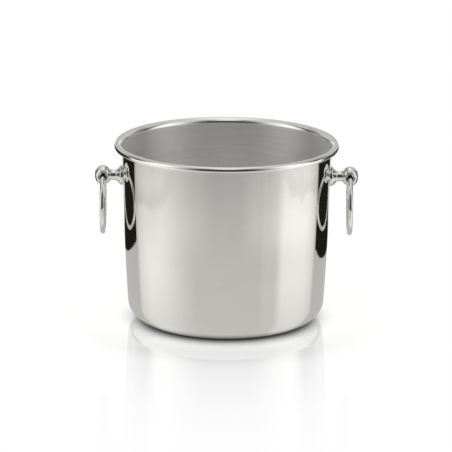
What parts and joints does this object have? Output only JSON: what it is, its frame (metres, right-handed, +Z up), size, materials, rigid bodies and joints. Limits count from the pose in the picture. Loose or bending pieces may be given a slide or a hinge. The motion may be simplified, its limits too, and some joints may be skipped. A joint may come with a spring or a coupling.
{
  "type": "champagne bucket",
  "caption": "Round polished metal bucket with gently flared wall, rolled rim and two hanging ring handles on turned posts.",
  "frame": {"origin": "middle of the base, on the surface that the bucket stands on", "axes": "+Z up, +X towards the right handle, -X towards the left handle"},
  "size_m": [0.2688, 0.23, 0.185],
  "materials": {
    "polished_silver": "mirror polished outside, satin inside",
    "satin_steel": "satin",
    "seal_rubber": "matt"
  },
  "bodies": {
    "bucket": {"bucket_shell": "polished_silver", "left_handle_post": "polished_silver", "left_handle_seal": "seal_rubber", "left_inner_washer": "satin_steel", "left_handle_screw": "satin_steel", "right_handle_post": "polished_silver", "right_handle_seal": "seal_rubber", "right_inner_washer": "satin_steel", "right_handle_screw": "satin_steel"},
    "left_ring": {"left_handle_ring": "polished_silver"},
    "right_ring": {"right_handle_ring": "polished_silver"}
  },
  "joints": [
    {"name": "left_ring_swing", "type": "hinge", "parent": "bucket", "child": "left_ring", "pos_m": [-0.1263, 0, 0.149], "axis": [0, 1, 0], "range_deg": [-18, 199]},
    {"name": "right_ring_swing", "type": "hinge", "parent": "bucket", "child": "right_ring", "pos_m": [0.1263, 0, 0.149], "axis": [0, -1, 0], "range_deg": [-18, 199]}
  ]
}
